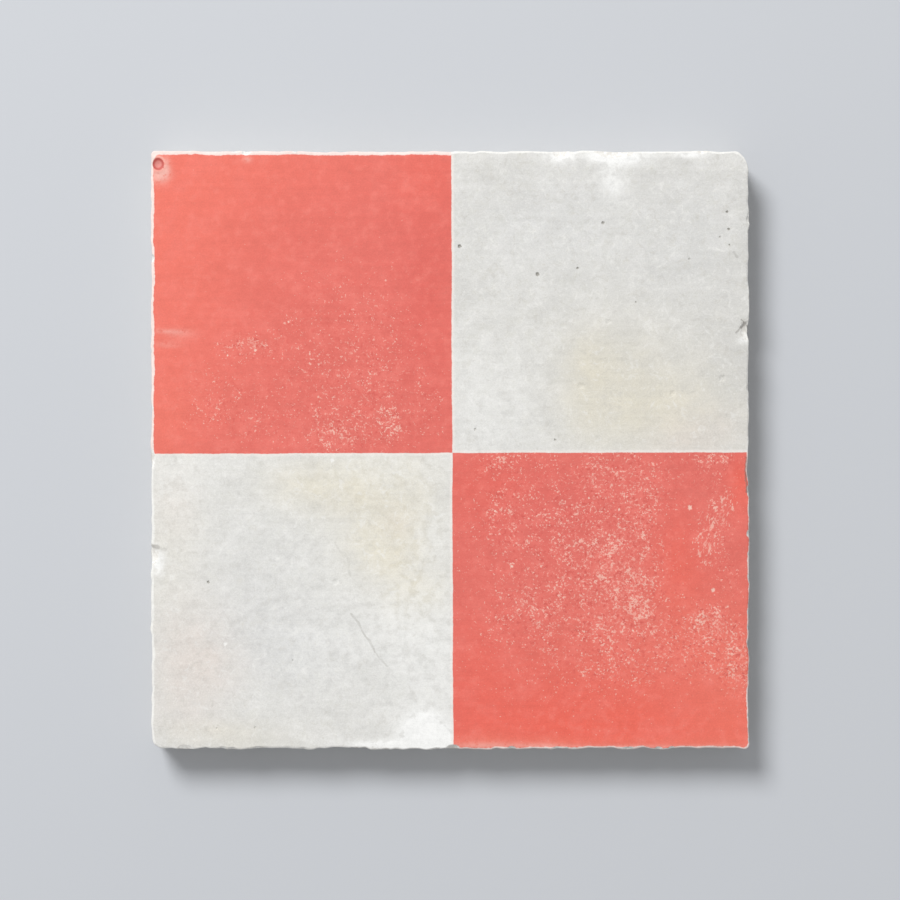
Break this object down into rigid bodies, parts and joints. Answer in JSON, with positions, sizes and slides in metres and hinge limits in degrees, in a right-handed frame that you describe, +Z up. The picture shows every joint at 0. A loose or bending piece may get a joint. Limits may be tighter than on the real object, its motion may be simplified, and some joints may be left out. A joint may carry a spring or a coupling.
{
  "type": "decorative tile",
  "caption": "Square pressed cement floor tile with a matt chequered face in coral and cream, worn corners and chipped edges, plain sides and a flat back for bedding.",
  "frame": {"origin": "centre of the back face, on the surface that the tile lies on", "axes": "+Z up out of the patterned face, +Y towards the top of the picture, +X towards its right, so the coral squares are at -X +Y and +X -Y"},
  "size_m": [0.2, 0.2, 0.016],
  "materials": {
    "cement": "matt"
  },
  "bodies": {
    "root": {"tile": "cement"}
  },
  "joints": []
}
